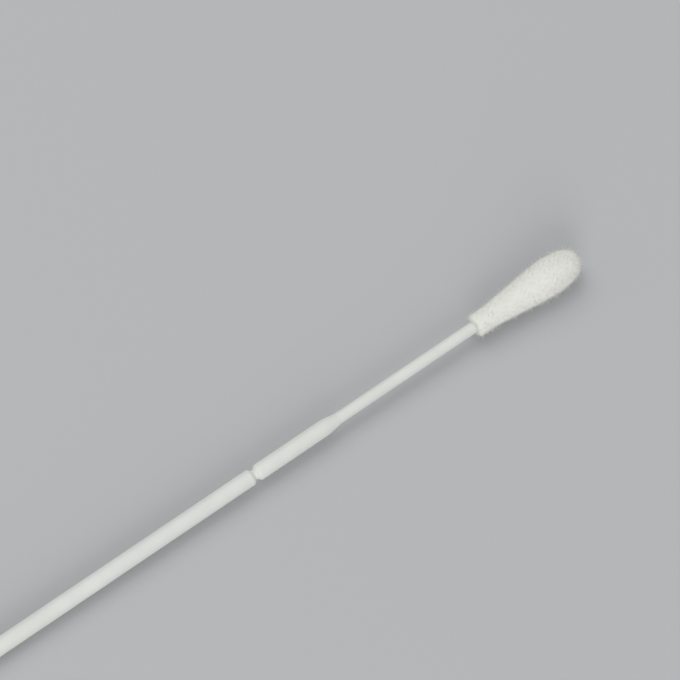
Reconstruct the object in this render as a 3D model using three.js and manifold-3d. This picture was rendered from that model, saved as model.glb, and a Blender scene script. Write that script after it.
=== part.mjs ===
// A flocked specimen swab. Its shaft is one plastic moulding with a plain round grip, a
// snap-off groove, a slimmer neck and a drop-shaped head core. Short nylon pile stands on a
// thin film of adhesive all over the core.
//
// Millimetres, +Z up. The swab lies as it comes to rest, with its tip towards +X, on the soft
// underside of its head and the end of its grip. The surface under it is Z = 0, and the
// origin is on that surface, under the middle of the swab's length.

import * as THREE from "three";
import { mergeVertices } from "three/addons/utils/BufferGeometryUtils.js";
import Module from "manifold-3d";

// ---- Driving dimensions ----------------------------------------------------------------

// Lengths along the swab
const overallLength = 150; // end of the grip to the tip of the pile
const breakableLength = 60; // middle of the snap-off groove to the tip of the pile
const shoulderLength = 12.65; // middle of the groove to the start of the taper
const taperLength = 2.4;
const flockLength = 20; // rear edge of the pile to its tip

// Diameters of the moulding
const gripDiameter = 2.5;
const neckDiameter = 1.77;
const coreDiameter = 4.0; // the head core at its widest

// The snap-off groove
const grooveDiameter = 1.55; // at the root
const grooveRootLength = 0.25;
const grooveFlankAngle = THREE.MathUtils.degToRad(43); // from the swab's axis
const grooveShoulderRadius = 0.5;
const grooveRootRadius = 0.12;

// Rounded edges of the moulding
const gripEdgeRadius = 0.3;
const taperShoulderRadius = 8;
const taperFootRadius = 3;

// The head: a stem as slim as the neck, a swell that is nearly a cone, and a full nose
const coreStemLength = 2.5; // from the pile's rear edge to the start of the swell
const widestFromTip = 6.2; // widest section of the head to the tip of the pile
const swellStart = 0.15; // share of the swell over which it leaves the stem
const swellEnd = 0.12; // share of the swell over which it rounds off
const noseLengthFullness = 0.7; // 0.55 would be half an ellipse
const noseWidthFullness = 0.65;

// The pile
const pileHeight = 1.0; // off the core's surface
const adhesiveFilm = 0.1; // between the core and the foot of the pile
const pileRimRadius = 0.4; // rounding of the pile's rear edge
const restingFlatDepth = 0.1; // how far the pile gives way where it lies on a surface

// Facets
const facetsRound = 40; // a multiple of 4, so that one line of corners is underneath
const stepsPerFillet = 5;
const stepsPerHeadCurve = 16;

// ---- Places worked out from them -------------------------------------------------------

const grooveX = overallLength - breakableLength;
const taperStartX = grooveX + shoulderLength;
const taperEndX = taperStartX + taperLength;
const flockStartX = overallLength - flockLength;
const swellStartX = flockStartX + coreStemLength;
const widestX = overallLength - widestFromTip;
const coreTipX = overallLength - pileHeight;

const gripRadius = gripDiameter / 2;
const neckRadius = neckDiameter / 2;
const coreRadius = coreDiameter / 2;
const grooveRadius = grooveDiameter / 2;
const headRadius = coreRadius + pileHeight;

// ---- Outlines: half sections in the plane of (distance along the swab, radius) ----------

// A corner of an outline, with the radius that rounds it
function corner(x, radius, rounding = 0) {
  return { at: new THREE.Vector2(x, radius), rounding };
}

// The arc that rounds one corner, tangent to both of its sides. It takes up no more than
// half of either side.
function fillet(before, { at, rounding }, after) {
  const back = before.at.clone().sub(at);
  const ahead = after.at.clone().sub(at);
  const halfAngle = Math.abs(back.angleTo(ahead)) / 2;
  const longest = Math.min(back.length(), ahead.length()) / 2;
  const reach = Math.min(rounding / Math.tan(halfAngle), longest);
  if (reach === 0) {
    return [at];
  }
  const start = at.clone().addScaledVector(back.normalize(), reach);
  const end = at.clone().addScaledVector(ahead.normalize(), reach);
  const toCentre = reach / Math.cos(halfAngle);
  const centre = at.clone().addScaledVector(back.add(ahead).normalize(), toCentre);
  const from = start.clone().sub(centre);
  const turn = signedAngle(from, end.clone().sub(centre));
  return steps(stepsPerFillet).map((t) => {
    return from.clone().rotateAround(new THREE.Vector2(), turn * t).add(centre);
  });
}

// The angle that turns one vector into another, the short way round
function signedAngle(from, to) {
  return Math.atan2(from.cross(to), from.dot(to));
}

// Evenly spaced values from 0 to 1
function steps(count) {
  return Array.from({ length: count + 1 }, (_, i) => i / count);
}

// The points of an outline whose corners are rounded. Its two ends stay sharp.
function roundedOutline(corners) {
  return corners.flatMap((here, i) => {
    const isEnd = i === 0 || i === corners.length - 1;
    return isEnd ? [here.at] : fillet(corners[i - 1], here, corners[i + 1]);
  });
}

// The core's curve from the start of its swell to its tip: a swell that starts and ends level
// with the axis, then a nose that meets the axis square
function coreCurves() {
  const swell = widestX - swellStartX;
  const nose = coreTipX - widestX;
  return [
    new THREE.CubicBezierCurve(
      new THREE.Vector2(swellStartX, neckRadius),
      new THREE.Vector2(swellStartX + swellStart * swell, neckRadius),
      new THREE.Vector2(widestX - swellEnd * swell, coreRadius),
      new THREE.Vector2(widestX, coreRadius),
    ),
    new THREE.CubicBezierCurve(
      new THREE.Vector2(widestX, coreRadius),
      new THREE.Vector2(widestX + noseLengthFullness * nose, coreRadius),
      new THREE.Vector2(coreTipX, noseWidthFullness * coreRadius),
      new THREE.Vector2(coreTipX, 0),
    ),
  ];
}

// The points that lie a set distance off the core's curve, square to it. The last point is on
// the axis.
function offCore(distance) {
  const points = coreCurves().flatMap((curve, i) => {
    const places = steps(stepsPerHeadCurve).slice(i === 0 ? 0 : 1);
    return places.map((t) => {
      const along = curve.getTangent(t);
      const outward = new THREE.Vector2(-along.y, along.x);
      return curve.getPoint(t).addScaledVector(outward, distance);
    });
  });
  points[points.length - 1].set(coreTipX + distance, 0);
  return points;
}

// The V of the snap-off groove, with rounded shoulders and a short level root
function grooveCorners() {
  const halfRoot = grooveRootLength / 2;
  const halfMouth = halfRoot + (gripRadius - grooveRadius) / Math.tan(grooveFlankAngle);
  return [
    corner(grooveX - halfMouth, gripRadius, grooveShoulderRadius),
    corner(grooveX - halfRoot, grooveRadius, grooveRootRadius),
    corner(grooveX + halfRoot, grooveRadius, grooveRootRadius),
    corner(grooveX + halfMouth, gripRadius, grooveShoulderRadius),
  ];
}

// The whole moulding, from the middle of the grip's end face to the core's tip
function shaftOutline() {
  const handle = roundedOutline([
    corner(0, 0),
    corner(0, gripRadius, gripEdgeRadius),
    ...grooveCorners(),
    corner(taperStartX, gripRadius, taperShoulderRadius),
    corner(taperEndX, neckRadius, taperFootRadius),
    corner(swellStartX, neckRadius),
  ]);
  return [...handle.slice(0, -1), ...offCore(0)];
}

// The pile, as a cup over the core. The outline runs back along the seat, which lies an
// adhesive film off the moulding, across the rear edge, and forwards along the outside, which
// lies a pile's height off the same curve.
function flockOutline() {
  const seatRadius = neckRadius + adhesiveFilm;
  const rimRadius = neckRadius + pileHeight;
  const rim = roundedOutline([
    corner(flockStartX, seatRadius),
    corner(flockStartX, rimRadius, pileRimRadius),
    corner(swellStartX, rimRadius),
  ]);
  const seat = offCore(adhesiveFilm).reverse();
  return [...seat, ...rim.slice(0, -1), ...offCore(pileHeight)];
}

// ---- Solids ----------------------------------------------------------------------------

// An outline turned about the swab's axis, which is X
function revolve(outline) {
  const profile = outline.map((point) => new THREE.Vector2(point.y, point.x));
  return new THREE.LatheGeometry(profile, facetsRound).rotateZ(-Math.PI / 2);
}

// A geometry as a solid that can be cut. Neighbouring triangles share their corners, and the
// triangles that shrink to nothing on the axis are left out.
function toSolid(wasm, geometry) {
  const bare = geometry.clone().deleteAttribute("normal").deleteAttribute("uv");
  const merged = mergeVertices(bare);
  const index = merged.index.array;
  const triVerts = [];
  for (let i = 0; i < index.length; i += 3) {
    const [a, b, c] = index.slice(i, i + 3);
    if (a !== b && b !== c && c !== a) {
      triVerts.push(a, b, c);
    }
  }
  const vertProperties = merged.attributes.position.array;
  const mesh = new wasm.Mesh({ numProp: 3, vertProperties, triVerts: Uint32Array.from(triVerts) });
  return new wasm.Manifold(mesh);
}

// A cut solid as a geometry again
function toGeometry(solid) {
  const { vertProperties, triVerts } = solid.getMesh();
  const geometry = new THREE.BufferGeometry();
  geometry.setAttribute("position", new THREE.BufferAttribute(vertProperties, 3));
  geometry.setIndex(new THREE.BufferAttribute(triVerts, 1));
  geometry.computeVertexNormals();
  return geometry;
}

// The moulding is straight, so it lies on the lower edge of the grip's end and on the
// flattened underside of the head. This brings the line through both down to Z = 0.
function layDown(swab) {
  const rise = headRadius - restingFlatDepth - gripRadius;
  const tilt = Math.atan2(rise, widestX - gripEdgeRadius);
  const lift = gripRadius * Math.cos(tilt) - gripEdgeRadius * Math.sin(tilt);
  swab.rotation.y = -tilt;
  swab.position.set((-overallLength / 2) * Math.cos(tilt), 0, lift);
  swab.updateMatrix();
}

// Everything under the surface that the swab lies on, in the swab's own frame
function groundUnder(swab) {
  const size = overallLength * 2;
  const ground = new THREE.BoxGeometry(size, size, size);
  ground.translate(0, 0, -size / 2);
  return ground.applyMatrix4(swab.matrix.clone().invert());
}

function makeShaft() {
  const plastic = new THREE.MeshStandardMaterial({ color: "#e3e4df", roughness: 0.45 });
  const mesh = new THREE.Mesh(revolve(shaftOutline()), plastic);
  mesh.name = "shaft";
  return mesh;
}

function makeFlockTip(wasm, swab) {
  const pile = toSolid(wasm, revolve(flockOutline()));
  const ground = toSolid(wasm, groundUnder(swab));
  const nylon = new THREE.MeshStandardMaterial({ color: "#efefea", roughness: 1 });
  const mesh = new THREE.Mesh(toGeometry(pile.subtract(ground)), nylon);
  mesh.name = "flock_tip";
  return mesh;
}

// ---- The swab --------------------------------------------------------------------------

const wasm = await Module();
wasm.setup();

const swab = new THREE.Group();
layDown(swab);
swab.add(makeShaft(), makeFlockTip(wasm, swab));

export default swab;
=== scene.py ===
"""The looks of a flocked specimen swab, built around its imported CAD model.

The swab is a satin plastic moulding whose head is covered with short nylon pile. The moulding
is drawn again with rounder turnings. The pile is drawn as a soft bed with many thousands of
separate fibres standing out of it. Every shape starts from the CAD model's own corners.
Everything is in metres, in the CAD model's frame.
"""

import math

import bpy
import numpy as np
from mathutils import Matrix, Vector


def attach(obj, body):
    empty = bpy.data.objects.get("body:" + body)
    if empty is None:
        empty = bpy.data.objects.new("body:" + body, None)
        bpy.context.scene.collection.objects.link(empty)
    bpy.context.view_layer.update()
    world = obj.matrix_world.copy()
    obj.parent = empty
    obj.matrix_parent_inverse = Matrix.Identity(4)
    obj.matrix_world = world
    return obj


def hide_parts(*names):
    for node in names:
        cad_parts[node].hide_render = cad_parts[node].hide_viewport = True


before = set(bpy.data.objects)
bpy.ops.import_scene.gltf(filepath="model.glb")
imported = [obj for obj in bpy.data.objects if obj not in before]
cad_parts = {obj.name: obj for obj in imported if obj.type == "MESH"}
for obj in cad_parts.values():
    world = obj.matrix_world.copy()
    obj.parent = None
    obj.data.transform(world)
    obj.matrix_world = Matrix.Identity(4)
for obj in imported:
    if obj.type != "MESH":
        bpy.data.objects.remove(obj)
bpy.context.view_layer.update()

# ---- Values ----------------------------------------------------------------------------

MM = 0.001
SEED = 20

# The moulding
TURNINGS = 96  # columns round the moulding
STEPS_PER_CHORD = 3  # rows between two of the CAD model's rings
SAME_RING = 0.001 * MM  # corners closer together than this along the swab are on one ring
CURVE_STEPS = 2000  # along each of the head's curves

# The pile's outside lies over the core at its full height. At the rear it rises from the neck
# by a quarter of an ellipse.
REAR_OVER = 0.05 * MM  # it starts on the neck, this far behind the CAD model's rear edge
REAR_ROUND = 0.6 * MM  # and takes this far to reach its height

# The bed: the lower part of the pile, where fibres stand too close to tell apart
BED_DEPTH = 0.15 * MM  # under the pile's outside
BED_STEP = 0.2 * MM  # between two rows and between two columns

# The fibres, of the real thickness of 0.02 mm. Heights are over the pile's outside, and a lean
# is sideways per unit of length.
FIBRE_RADIUS = 0.01 * MM
FIBRE_VARIES = (0.8, 1.2)  # the radius of the thinnest and of the thickest, as shares of that
FIBRE_WAIST = 0.9  # share of its radius that a fibre still has half-way up
FIBRE_ROOT = -0.3 * MM  # a drawn fibre starts here, inside the bed
FIBRE_COUNT = 50_000  # that stand evenly
FIBRE_SHAKE = 0.5  # a spot is moved at random by this share of the mean distance between spots
FIBRE_TIP = (-0.09 * MM, 0.06 * MM)  # the mean height of their tips, and its spread
FIBRE_LEAN = 0.5  # the spread of their leans
MAP_GAP = 0.01  # the corners of one fibre lie this far apart on its map

# The tufts, in which a few fibres cling together
TUFT_COUNT = 5520
TUFT_FIBRES = 6
TUFT_SHAKE = 0.8  # as for the fibres
TUFT_RADIUS = 0.026 * MM  # the spread of a tuft's fibres round its middle
TUFT_REACH = (-0.14 * MM, 0.75 * MM)  # the heights of the lowest and of the highest
TUFT_STEP = 0.7548777  # from tuft to tuft a share moves on by this, and from 1 back to 0
TUFT_RARE = 4  # and that share to this power is how far up between the two a tuft reaches
TUFT_EVEN = 0.7  # its shortest fibre goes this share of the way there from the even ones
TUFT_LEAN = 0.12  # the spread of the tufts' leans
TUFT_PULL = 0.6  # share of the way to the tuft's middle that a tip is drawn

TIP_RADIUS = 0.1 * MM  # nearer to the axis than this, a spot turns no faster round it
PILE_BANDS = ("pile_rear", "pile_stem", "pile_swell", "pile_head", "pile_nose")

# The patterns of the surfaces
CLOUD_SIZE = 5 * MM  # of the clouds in the moulding
GRAIN_SIZE = 0.1 * MM  # of the moulding's grain; the real 0.03 mm is too fine to show
GRAIN_DEPTH = 0.008 * MM
GAP_SIZE = 0.12 * MM  # of the painted shade between packed fibres; the real gaps of 0.02 mm are too fine to show

# The stage. A place is given by its azimuth and elevation, in degrees.
CAMERA_AZIMUTH, CAMERA_ELEVATION = -36.67, 62
CAMERA_DISTANCE = 400 * MM
CAMERA_AIM = np.array([38.76, 11.24, 0]) * MM
CAMERA_LENS, CAMERA_SENSOR = 142.4, 36  # in millimetres, as Blender takes them
CAMERA_CLIP = 0.01, 10  # metres
FLOOR_REACH = 30.0  # metres from the middle to each edge
FLOOR_EVEN = 0.55, 1.8  # the distances in metres between which the floor grows lighter
LAMPS = (  # azimuth, elevation, size in metres and power in watts
    ("overhead", 170, 60, 0.8, 3.1),
    ("fill", -35, 22, 0.6, 4.3),
)
SURROUND_STRENGTH = 0.6

# ---- The swab's own frame, read from the CAD model -------------------------------------


def corners_of(name):
    """The separate corners of a CAD node's mesh."""
    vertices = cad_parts[name].data.vertices
    flat = np.empty(len(vertices) * 3, np.float32)
    vertices.foreach_get("co", flat)
    return np.unique(flat.reshape(-1, 3), axis=0).astype(float)


def axis_of(corners):
    """The line that the moulding is turned about. It runs through the middle of the corners,
    in the direction in which they reach furthest. Returns its point at the grip's end, and
    the directions along the swab, to its side and up. Its side is Y, because it rests in the
    plane of X and Z."""
    middle = corners.mean(axis=0)
    along = np.linalg.svd(corners - middle, full_matrices=False)[2][0]
    along *= np.sign(along[0])
    side = np.array([0.0, 1.0, 0.0])
    start = middle + along * ((corners - middle) @ along).min()
    return start, along, side, np.cross(along, side)


shaft_corners = corners_of("shaft")
START, ALONG, SIDE, UP = axis_of(shaft_corners)


def outline_of(corners):
    """The half section of a turned piece, one row for each ring of its corners: distance
    along the swab, and radius. Corners are sorted along the swab, with a hundredth of the
    radius added so that the middle of an end face comes before its edge."""
    away = corners - START
    along = away @ ALONG
    radius = np.linalg.norm(away - along[:, None] * ALONG, axis=1)
    key = along + radius / 100
    order = np.argsort(key)
    first = np.append(0, np.flatnonzero(np.diff(key[order]) > SAME_RING) + 1)
    count = np.diff(np.append(first, len(order)))
    return np.stack([np.add.reduceat(v[order], first) / count for v in (along, radius)], axis=1)


def on_swab(along, radius, angle):
    """Points at a distance along the swab, a radius off its axis and an angle round from up."""
    across = np.cos(angle)[..., None] * UP + np.sin(angle)[..., None] * SIDE
    return START + along[..., None] * ALONG + radius[..., None] * across


def smooth(outline, steps):
    """An outline with more rows between its own. Each coordinate is a cubic of the length
    along the chords. Its slope at a row is the harmonic mean of the two chords' slopes, or
    level where they differ in sign, so that it never swings past a row."""
    chord = np.linalg.norm(np.diff(outline, axis=0), axis=1)[:, None]
    slope = np.diff(outline, axis=0) / chord
    product = slope[:-1] * slope[1:]
    total = slope[:-1] + slope[1:]
    mean = np.where(product > 0, 2 * product / np.where(product > 0, total, 1), 0)
    at_row = np.concatenate([slope[:1], mean, slope[-1:]])
    t = np.linspace(0, 1, steps, endpoint=False)[None, :, None]
    low, high = outline[:-1, None], outline[1:, None]
    out, into = at_row[:-1, None] * chord[:, None], at_row[1:, None] * chord[:, None]
    rows = (
        low * (1 + 2 * t) * (1 - t) ** 2
        + out * t * (1 - t) ** 2
        + high * t**2 * (3 - 2 * t)
        - into * t**2 * (1 - t)
    )
    return np.concatenate([rows.reshape(-1, 2), outline[-1:]])


shaft_outline = outline_of(shaft_corners)
flock_along = (corners_of("flock_tip") - START) @ ALONG
FLOCK_REAR = flock_along.min()
PILE_HEIGHT = flock_along.max() - shaft_outline[-1, 0]
NECK_RADIUS = np.interp(FLOCK_REAR, *shaft_outline.T)


def even_curve(rows):
    """An outline that ends at the tip, in even steps: length along it, distance along the
    swab, radius, and the two parts of the outward direction."""
    length = np.append(0, np.cumsum(np.linalg.norm(np.diff(rows, axis=0), axis=1)))
    even = np.linspace(0, length[-1], CURVE_STEPS)
    along, radius = (np.interp(even, length, column) for column in rows.T)
    d_along, d_radius = np.gradient(along, even), np.gradient(radius, even)
    d_along[-1] = 0  # at the tip the curve runs square to the axis
    size = np.hypot(d_along, d_radius)
    return np.stack([even, along, radius, -d_radius / size, d_along / size])


def head_curves():
    """The moulded core under the pile and the pile's outside, both from the neck to the tip.
    The outside is the core moved square to itself by the pile's height, which at the rear
    rises from nothing by a quarter of an ellipse."""
    rear = FLOCK_REAR - REAR_OVER
    rows = smooth(shaft_outline, STEPS_PER_CHORD)
    rows = rows[rows[:, 0] > rear]
    core = even_curve(np.concatenate([[[rear, NECK_RADIUS]], rows]))
    place, along, radius, out_along, out_radius = core
    short = np.clip(1 - place / REAR_ROUND, 0, 1)
    height = PILE_HEIGHT * np.sqrt(1 - short**2)
    outside = np.stack([along + height * out_along, radius + height * out_radius], axis=1)
    return core, even_curve(outside)


CORE, OUTSIDE = head_curves()
OUTSIDE_LENGTH = OUTSIDE[0, -1]


def at_height(place, height):
    """Distance along and radius of the points at a height over the pile's outside, square to
    it, from their places along its curve."""
    columns = (np.interp(place, OUTSIDE[0], column) for column in OUTSIDE[1:])
    along, radius, out_along, out_radius = columns
    return along + height * out_along, np.maximum(radius + height * out_radius, 0)


# ---- Meshes ----------------------------------------------------------------------------


def new_piece(name, points, faces, material, replaced):
    """A smooth mesh piece that rides with the swab, takes its finish from a slot and stands
    for a CAD node."""
    mesh = bpy.data.meshes.new(name)
    mesh.from_pydata(points.reshape(-1, 3), [], faces)
    mesh.update()
    mesh.shade_smooth()
    mesh.materials.append(material)
    piece = bpy.data.objects.new(name, mesh)
    bpy.context.scene.collection.objects.link(piece)
    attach(piece, "root")
    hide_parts(replaced)
    return piece


def turned_faces(rows, columns, closed=False):
    """The faces of a grid whose columns go round, four corners each. A closed grid's last
    row joins its first."""
    row = np.arange(rows if closed else rows - 1)[:, None]
    column = np.arange(columns)[None, :]
    ahead, beside = (row + 1) % rows, (column + 1) % columns
    near, far = row * columns, ahead * columns
    corners = [near + column, near + beside, far + beside, far + column]
    return np.stack(corners, axis=-1).reshape(-1, 4)


def end_faces(here, beside, middle):
    """The faces between a ring of corners and one in its middle."""
    return np.stack([here, beside, np.full(len(here), middle)], axis=1)


def moulding(material):
    """The turned moulding: every row of its outline at every angle. Both ends close on one
    corner on the axis."""
    rows = smooth(shaft_outline, STEPS_PER_CHORD)[1:-1]
    angle = np.linspace(0, 2 * math.pi, TURNINGS, endpoint=False)
    shape = (len(rows), TURNINGS)
    along, radius = (np.broadcast_to(column[:, None], shape) for column in rows.T)
    skin = on_swab(along, radius, np.broadcast_to(angle, shape)).reshape(-1, 3)
    ends = START + shaft_outline[[0, -1], :1] * ALONG
    here = np.arange(TURNINGS)
    beside = (here + 1) % TURNINGS
    last_row = (len(rows) - 1) * TURNINGS
    grip_end = end_faces(beside, here, len(skin))
    tip_end = end_faces(last_row + here, last_row + beside, len(skin) + 1)
    faces = turned_faces(*shape).tolist() + grip_end.tolist() + tip_end.tolist()
    points = np.concatenate([skin, ends])
    new_piece("moulded_shaft", points, faces, material, "shaft")


# ---- The pile --------------------------------------------------------------------------

random = np.random.default_rng(SEED)


def surface_behind():
    """How much of the pile's surface lies behind each place on its outside: the sides of the
    short cones between the curve's steps, added up."""
    place, radius = OUTSIDE[0], OUTSIDE[2]
    return np.append(0, np.cumsum(math.pi * np.diff(place) * (radius[1:] + radius[:-1])))


def moved_by(place, angle, forward, round_it):
    """Spots on the pile's outside, moved forwards and round by small distances. The turn is
    the distance over the radius there, which is taken as no less than TIP_RADIUS."""
    radius = np.maximum(np.interp(place, OUTSIDE[0], OUTSIDE[2]), TIP_RADIUS)
    return np.clip(place + forward, 0, OUTSIDE_LENGTH), angle + round_it / radius


def even_spots(count, shake):
    """Spots spread evenly over the outside of the pile: the share of the surface behind a
    spot gives its place, and each is a golden angle round from the last. Each is then moved
    at random by a share of the mean distance between spots."""
    surface = surface_behind()
    golden = math.pi * (3 - math.sqrt(5))
    number = np.arange(count)
    apart = math.sqrt(surface[-1] / count)
    spots = np.interp((number + 0.5) * surface[-1] / count, surface, OUTSIDE[0])
    moved = shake * apart * random.uniform(-1, 1, (2, count))
    return moved_by(spots, number * golden, *moved)


def surface_directions(place, angle):
    """At spots on the pile's outside: the directions forwards along it and round it."""
    out_along, out_radius = (np.interp(place, OUTSIDE[0], c)[:, None] for c in OUTSIDE[3:])
    across = np.cos(angle)[:, None] * UP + np.sin(angle)[:, None] * SIDE
    round_it = np.cos(angle)[:, None] * SIDE - np.sin(angle)[:, None] * UP
    return out_radius * ALONG - out_along * across, round_it


def fibres(place, angle, top, lean):
    """Fibres at spots on the pile's outside, as three points on each one's middle line. A
    fibre stands square to the outside, and its tip is moved sideways by its lean, in
    proportion to its length. Its waist is moved by a quarter of that."""
    height = np.stack([np.full(len(top), FIBRE_ROOT), (FIBRE_ROOT + top) / 2, top])
    root, waist, tip = on_swab(*at_height(place, height), angle)
    forward, round_it = surface_directions(place, angle)
    one, two = ((top - FIBRE_ROOT) * lean)[..., None]
    sideways = one * forward + two * round_it
    return np.stack([root, waist + sideways / 4, tip + sideways], axis=1)


def even_fibres():
    """Fibres evenly all over the pile, each with its own height and lean."""
    place, angle = even_spots(FIBRE_COUNT, FIBRE_SHAKE)
    top = random.normal(*FIBRE_TIP, FIBRE_COUNT)
    return place, angle, top, random.normal(0, FIBRE_LEAN, (2, FIBRE_COUNT))


def tuft_fibres():
    """Fibres in tufts. Those of a tuft stand at random round its middle, share its lean and
    most of its height, and draw in towards its middle at their tips. The power of a share
    that steps evenly through its range gives a tuft's height, so that most tufts are low and
    the high ones stand well apart."""
    each = (TUFT_COUNT, TUFT_FIBRES)
    place, angle = (spot[:, None] for spot in even_spots(TUFT_COUNT, TUFT_SHAKE))
    off = random.normal(0, TUFT_RADIUS, (2, *each))
    lowest, highest = TUFT_REACH
    share = np.arange(TUFT_COUNT)[:, None] * TUFT_STEP % 1
    reach = lowest + (highest - lowest) * share**TUFT_RARE
    top = FIBRE_TIP[0] + (reach - FIBRE_TIP[0]) * random.uniform(TUFT_EVEN, 1, each)
    lean = random.normal(0, TUFT_LEAN, (2, TUFT_COUNT, 1))
    lean = lean - TUFT_PULL * off / (top - FIBRE_ROOT)
    place, angle = moved_by(place, angle, *off)
    return place.ravel(), angle.ravel(), top.ravel(), lean.reshape(2, -1)


def fibre_mesh(lines):
    """Three-sided tapering fibres: three corners round the first point of a line and three
    round the second, and one at its tip. Returns the corners, the faces and a UV map, whose
    U is a fibre's own shade and whose V is the share of its length."""
    count = len(lines)
    run = lines[:, 2] - lines[:, 0]
    run /= np.linalg.norm(run, axis=1)[:, None]
    nearly_along_x = np.abs(run[:, :1]) >= 0.7
    spare = np.where(nearly_along_x, [[0, 1.0, 0]], [[1.0, 0, 0]])
    one = np.cross(run, spare)
    one /= np.linalg.norm(one, axis=1)[:, None]
    two = np.cross(run, one)
    turn = 2 * math.pi * (np.arange(3) / 3 + random.random((count, 1)))[..., None]
    spoke = np.cos(turn) * one[:, None] + np.sin(turn) * two[:, None]
    spoke *= FIBRE_RADIUS * random.uniform(*FIBRE_VARIES, (count, 1, 1))
    foot, waist = lines[:, :1] + spoke, lines[:, 1:2] + FIBRE_WAIST * spoke
    points = np.concatenate([foot, waist, lines[:, 2:]], axis=1)
    points[..., 2] = np.maximum(points[..., 2], 0)  # the swab's weight lays these on the floor

    here = np.arange(3)
    beside = (here + 1) % 3
    tip = 6
    lower = np.stack([here, beside, 3 + beside], axis=1)
    upper = np.stack([here, 3 + beside, 3 + here], axis=1)
    end = end_faces(3 + here, 3 + beside, tip)
    one_fibre = np.concatenate([[[2, 1, 0]], lower, upper, end])
    faces = (one_fibre + (tip + 1) * np.arange(count)[:, None, None]).reshape(-1, 3)

    # On the map a fibre is a narrow shape that leaves no face without area.
    apart = MAP_GAP * np.array([-1, 0, 1, -1, 0, 1, 0])
    share = np.repeat([0, 0.5, 1 - 3 * MAP_GAP], [3, 3, 1]) + np.abs(apart) + MAP_GAP
    shade = random.uniform(2 * MAP_GAP, 1 - 2 * MAP_GAP, (count, 1))
    uv = np.stack(np.broadcast_arrays(shade + apart, share), axis=-1)
    return points, faces, uv.reshape(-1, 2)[faces.ravel()]


def fibre_piece(name, lines, material):
    """A piece of the pile, with its fibres' UV map."""
    points, faces, uv = fibre_mesh(lines)
    piece = new_piece(name, points, faces.tolist(), material, "flock_tip")
    layer = piece.data.uv_layers.new(name="OFBake")
    layer.uv.foreach_set("vector", uv.astype(np.float32).ravel())


def pile(material):
    """The fibres as a few pieces: bands round the head with a like share of them."""
    both = zip(even_fibres(), tuft_fibres())
    place, angle, top, lean = (np.concatenate(parts, axis=-1) for parts in both)
    order = np.argsort(place, kind="stable")
    lines = fibres(place[order], angle[order], top[order], lean[:, order])
    for name, band in zip(PILE_BANDS, np.array_split(lines, len(PILE_BANDS))):
        fibre_piece(name, band, material)


def bed(material):
    """The bed as a closed shell: back along the core and forwards again at the bed's depth,
    with every row of that outline at every angle. It is no lower than a fibre's radius."""
    rows = int(OUTSIDE_LENGTH / BED_STEP)
    columns = int(2 * math.pi * OUTSIDE[2].max() / BED_STEP)
    forward = np.stack(at_height(np.linspace(0, OUTSIDE_LENGTH, rows), -BED_DEPTH), axis=1)
    start = np.searchsorted(CORE[1], forward[0, 0])
    steps = np.linspace(CURVE_STEPS - 1, start, rows)[1:-1].astype(int)
    back = CORE[1:3, steps].T
    outline = np.concatenate([back, forward])
    angle = np.linspace(0, 2 * math.pi, columns, endpoint=False)
    shape = (len(outline), columns)
    along, radius = (np.broadcast_to(column[:, None], shape) for column in outline.T)
    points = on_swab(along, radius, np.broadcast_to(angle, shape))
    points[..., 2] = np.maximum(points[..., 2], FIBRE_RADIUS)
    faces = turned_faces(*shape, closed=True)
    new_piece("pile_bed", points, faces.tolist(), material, "flock_tip")


# ---- Materials -------------------------------------------------------------------------


def linear(colour):
    """An sRGB hex colour as linear red, green, blue and alpha."""
    parts = [int(colour[i : i + 2], 16) / 255 for i in (1, 3, 5)]
    return [p / 12.92 if p <= 0.04045 else ((p + 0.055) / 1.055) ** 2.4 for p in parts] + [1]


def node(tree, kind, inputs=None, **settings):
    """Adds a shader node with its settings. An input is a value, or the socket that feeds it."""
    made = tree.nodes.new(kind)
    for name, value in settings.items():
        setattr(made, name, value)
    for name, value in (inputs or {}).items():
        if isinstance(value, bpy.types.NodeSocket):
            tree.links.new(value, made.inputs[name])
        else:
            made.inputs[name].default_value = value
    return made


def new_material(name):
    """An empty material and its node tree."""
    made = bpy.data.materials.new(name)
    made.use_nodes = True
    made.node_tree.nodes.clear()
    return made, made.node_tree


def moulded_abs():
    """ABS from a spark-eroded mould: milky white and satin, with a fine even grain, and
    faintly clouded by the way the melt flowed. The grain is drawn coarser than it is, because
    it is too fine to show."""
    made, tree = new_material("moulded_abs")
    place = node(tree, "ShaderNodeTexCoord").outputs["Object"]
    inputs = {"Vector": place, "Scale": 1 / CLOUD_SIZE, "Detail": 6.0, "Roughness": 0.7}
    cloud = node(tree, "ShaderNodeTexNoise", inputs).outputs["Fac"]
    inputs = {"Factor": cloud, "A": linear("#d5d7d1"), "B": linear("#e9eae5")}
    colour = node(tree, "ShaderNodeMix", inputs, data_type="RGBA").outputs["Result"]
    inputs = {"Vector": place, "Scale": 1 / GRAIN_SIZE, "Detail": 3.0}
    grain = node(tree, "ShaderNodeTexNoise", inputs).outputs["Fac"]
    inputs = {"Height": grain, "Strength": 0.4, "Distance": GRAIN_DEPTH}
    bump = node(tree, "ShaderNodeBump", inputs).outputs["Normal"]
    inputs = {"Base Color": colour, "Roughness": 0.5, "IOR": 1.53, "Normal": bump}
    shader = node(tree, "ShaderNodeBsdfPrincipled", inputs)
    node(tree, "ShaderNodeOutputMaterial", {"Surface": shader.outputs["BSDF"]})
    return made


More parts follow.
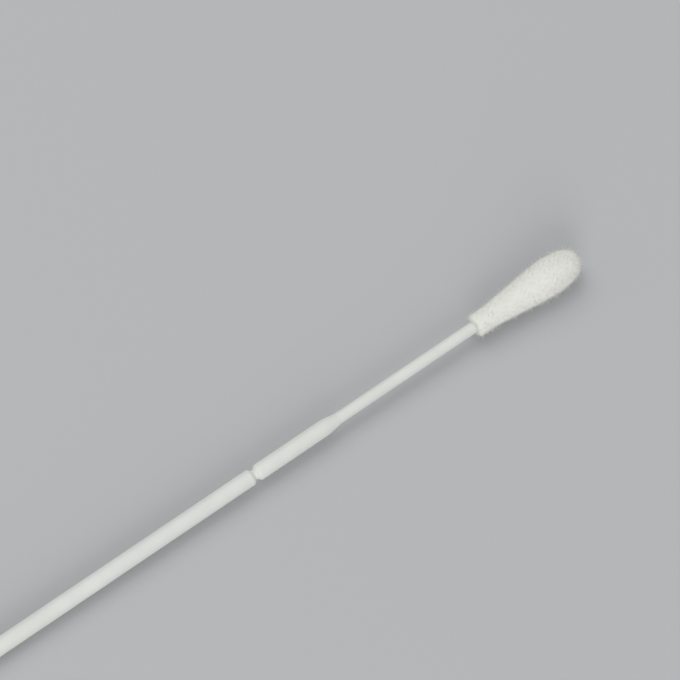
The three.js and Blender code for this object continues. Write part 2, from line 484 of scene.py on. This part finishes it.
def nylon_flock():
    """Nylon fibre, cut short and flocked: bright white and soft, each fibre a little lighter
    or darker. Each fibre is painted lighter towards its tip: painted light that lifts the shade
    among crowded tips."""
    made, tree = new_material("nylon_flock")
    spot = node(tree, "ShaderNodeUVMap", uv_map="OFBake").outputs["UV"]
    parts = node(tree, "ShaderNodeSeparateXYZ", {"Vector": spot}).outputs
    shades = {"Factor": parts["X"]}
    # From root to tip each fibre grows lighter: painted light, lifting the shade where the tips
    # crowd together
    for which, root, tip in (("A", "#f0f1ec", "#f4f5f0"), ("B", "#f1f1ec", "#f7f7f2")):
        inputs = {"Factor": parts["Y"], "A": linear(root), "B": linear(tip)}
        fibre = node(tree, "ShaderNodeMix", inputs, data_type="RGBA")
        shades[which] = fibre.outputs["Result"]
    colour = node(tree, "ShaderNodeMix", shades, data_type="RGBA").outputs["Result"]
    inputs = {"Base Color": colour, "Roughness": 0.6, "IOR": 1.53}
    shader = node(tree, "ShaderNodeBsdfPrincipled", inputs)
    node(tree, "ShaderNodeOutputMaterial", {"Surface": shader.outputs["BSDF"]})
    return made


def packed_nylon():
    """The same nylon where its fibres are packed: a soft white, mottled with painted shade where
    the gaps between fibres lie. The gaps are drawn coarser than they are, because they are too
    fine to show."""
    made, tree = new_material("packed_nylon")
    place = node(tree, "ShaderNodeTexCoord").outputs["Object"]
    inputs = {"Vector": place, "Scale": 1 / GAP_SIZE, "Detail": 2.0}
    gap_shade = node(tree, "ShaderNodeTexNoise", inputs).outputs["Fac"]
    # The darker of the two tones is painted shade in the gaps between the packed fibres
    inputs = {"Factor": gap_shade, "A": linear("#edede7"), "B": linear("#f3f3ee")}
    colour = node(tree, "ShaderNodeMix", inputs, data_type="RGBA").outputs["Result"]
    inputs = {"Base Color": colour, "Roughness": 0.9, "IOR": 1.53}
    shader = node(tree, "ShaderNodeBsdfPrincipled", inputs)
    node(tree, "ShaderNodeOutputMaterial", {"Surface": shader.outputs["BSDF"]})
    return made


def painted_board():
    """Matt painted board, pale grey. It grows lighter away from the lamps, so that it looks
    even right out to its edges."""
    made, tree = new_material("painted_board")
    place = node(tree, "ShaderNodeTexCoord").outputs["Object"]
    away = node(tree, "ShaderNodeVectorMath", {0: place}, operation="LENGTH").outputs["Value"]
    near, far = FLOOR_EVEN
    inputs = {"Value": away, "From Min": near, "From Max": far}
    share = node(tree, "ShaderNodeMapRange", inputs).outputs["Result"]
    inputs = {"Factor": share, "A": linear("#bbbdbf"), "B": linear("#f6f8fa")}
    colour = node(tree, "ShaderNodeMix", inputs, data_type="RGBA").outputs["Result"]
    inputs = {"Base Color": colour, "Roughness": 0.9}
    shader = node(tree, "ShaderNodeBsdfPrincipled", inputs)
    node(tree, "ShaderNodeOutputMaterial", {"Surface": shader.outputs["BSDF"]})
    return made


# ---- Stage -----------------------------------------------------------------------------


def direction(azimuth, elevation):
    """From the object towards a place. Azimuth 0 is in front of it, where Y is negative."""
    a, e = math.radians(azimuth), math.radians(elevation)
    return Vector((math.sin(a) * math.cos(e), -math.cos(a) * math.cos(e), math.sin(e)))


def place_camera():
    """The camera, looking down along the swab at its break groove and head."""
    data = bpy.data.cameras.new("camera")
    data.lens, data.sensor_width = CAMERA_LENS, CAMERA_SENSOR
    data.clip_start, data.clip_end = CAMERA_CLIP
    camera = bpy.data.objects.new("camera", data)
    toward = direction(CAMERA_AZIMUTH, CAMERA_ELEVATION)
    camera.location = Vector(CAMERA_AIM) + CAMERA_DISTANCE * toward
    turn = math.radians(90 - CAMERA_ELEVATION), 0, math.radians(CAMERA_AZIMUTH)
    camera.rotation_euler = turn
    bpy.context.scene.collection.objects.link(camera)
    bpy.context.scene.camera = camera


def add_lamp(name, azimuth, elevation, size, watts):
    """A square soft lamp a metre away that shines on the object."""
    data = bpy.data.lights.new(name, "AREA")
    data.size, data.energy = size, watts
    lamp = bpy.data.objects.new(name, data)
    lamp.location = direction(azimuth, elevation)
    lamp.rotation_euler = lamp.location.to_track_quat("Z", "Y").to_euler()
    bpy.context.scene.collection.objects.link(lamp)


def lay_floor():
    """A wide pale floor."""
    r = FLOOR_REACH
    mesh = bpy.data.meshes.new("floor")
    mesh.from_pydata([(-r, -r, 0), (r, -r, 0), (r, r, 0), (-r, r, 0)], [], [(0, 1, 2, 3)])
    mesh.materials.append(painted_board())
    floor = bpy.data.objects.new("floor", mesh)
    bpy.context.scene.collection.objects.link(floor)


def surround():
    """An even pale light from all round. Where it is seen itself, or in gloss or glass, it has
    the colour of the floor far away, so that no horizon shows."""
    world = bpy.data.worlds.new("surround")
    world.use_nodes = True
    tree = world.node_tree
    rays = node(tree, "ShaderNodeLightPath").outputs
    seen = rays["Is Camera Ray"]
    for kind in ("Is Glossy Ray", "Is Transmission Ray"):
        either = node(tree, "ShaderNodeMath", {0: seen, 1: rays[kind]}, operation="MAXIMUM")
        seen = either.outputs["Value"]
    inputs = {"Factor": seen, "A": linear("#f4f4f4"), "B": linear("#edeef0")}
    colour = node(tree, "ShaderNodeMix", inputs, data_type="RGBA").outputs["Result"]
    background = tree.nodes["Background"]
    background.inputs["Strength"].default_value = SURROUND_STRENGTH
    tree.links.new(colour, background.inputs["Color"])
    bpy.context.scene.world = world


def build_stage():
    """The floor, a large soft lamp behind and above, a low one in front that fills the near
    side, and the surround."""
    bpy.context.scene.view_settings.view_transform = "Standard"
    lay_floor()
    for lamp in LAMPS:
        add_lamp(*lamp)
    surround()


# ---- The scene -------------------------------------------------------------------------

place_camera()
build_stage()
moulding(moulded_abs())
bed(packed_nylon())
pile(nylon_flock())
